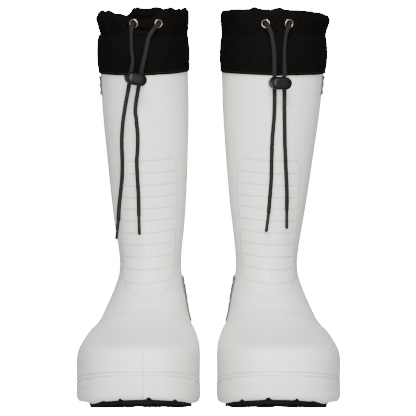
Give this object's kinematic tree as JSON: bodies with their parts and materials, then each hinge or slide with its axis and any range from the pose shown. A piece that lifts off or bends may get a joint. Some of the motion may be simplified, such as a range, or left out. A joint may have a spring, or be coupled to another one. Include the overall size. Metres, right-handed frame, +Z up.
{
  "type": "winter boots",
  "caption": "Pair of tall moulded foam winter boots with lugged rubber soles, warm liners, black fabric collars, drawcords and sliding cord locks.",
  "frame": {"origin": "on the ground, at the bottom centre of the pair's box", "axes": "+Z up, both toes towards -Y, the wearer's right boot at -X and the left boot at +X"},
  "size_m": [0.2662, 0.293, 0.4077],
  "materials": {
    "eva_foam": "satin",
    "outsole_rubber": "matte",
    "insole_fabric": "matte",
    "liner_fabric": "matte",
    "collar_fabric": "matte",
    "eyelet_metal": "polished",
    "badge_foam": "satin",
    "grip_foam": "matte",
    "cord": "matte",
    "cord_tip": "satin",
    "lock_plastic": "gloss",
    "spring_steel": "satin"
  },
  "bodies": {
    "right_boot": {"right_shell": "eva_foam", "right_outsole": "outsole_rubber", "right_insole": "insole_fabric", "right_liner": "liner_fabric", "right_collar_band": "collar_fabric", "right_collar_cuff": "collar_fabric", "right_eyelets": "eyelet_metal", "right_eyelet_washers": "eyelet_metal", "right_side_badge": "badge_foam", "right_ankle_grip": "grip_foam", "right_drawcord_run": "cord", "right_cord_tail_outer": "cord", "right_cord_tail_inner": "cord", "right_cord_tip_outer": "cord_tip", "right_cord_tip_inner": "cord_tip"},
    "right_lock": {"right_lock_barrel": "lock_plastic", "right_lock_spring": "spring_steel"},
    "right_button": {"right_lock_button": "lock_plastic"},
    "left_boot": {"left_shell": "eva_foam", "left_outsole": "outsole_rubber", "left_insole": "insole_fabric", "left_liner": "liner_fabric", "left_collar_band": "collar_fabric", "left_collar_cuff": "collar_fabric", "left_eyelets": "eyelet_metal", "left_eyelet_washers": "eyelet_metal", "left_side_badge": "badge_foam", "left_ankle_grip": "grip_foam", "left_drawcord_run": "cord", "left_cord_tail_outer": "cord", "left_cord_tail_inner": "cord", "left_cord_tip_outer": "cord_tip", "left_cord_tip_inner": "cord_tip"},
    "left_lock": {"left_lock_barrel": "lock_plastic", "left_lock_spring": "spring_steel"},
    "left_button": {"left_lock_button": "lock_plastic"}
  },
  "joints": [
    {"name": "right_lock_slide", "type": "slide", "parent": "right_boot", "child": "right_lock", "axis": [-0.1736, 0, -0.9848], "range_m": [0, 0.02]},
    {"name": "right_button_press", "type": "slide", "parent": "right_lock", "child": "right_button", "axis": [-0.2048, 0.9781, 0.0361], "range_m": [0, 0.0036], "stiffness_N_per_m": 600, "deforming": ["right_lock_spring"]},
    {"name": "left_lock_slide", "type": "slide", "parent": "left_boot", "child": "left_lock", "axis": [0, 0, -1], "range_m": [0, 0.02]},
    {"name": "left_button_press", "type": "slide", "parent": "left_lock", "child": "left_button", "axis": [-0.2079, 0.9781, 0], "range_m": [0, 0.0036], "stiffness_N_per_m": 600, "deforming": ["left_lock_spring"]},
    {"name": "boots_apart", "type": "slide", "parent": "right_boot", "child": "left_boot", "axis": [1, 0, 0], "range_m": [0, 0.3]}
  ]
}
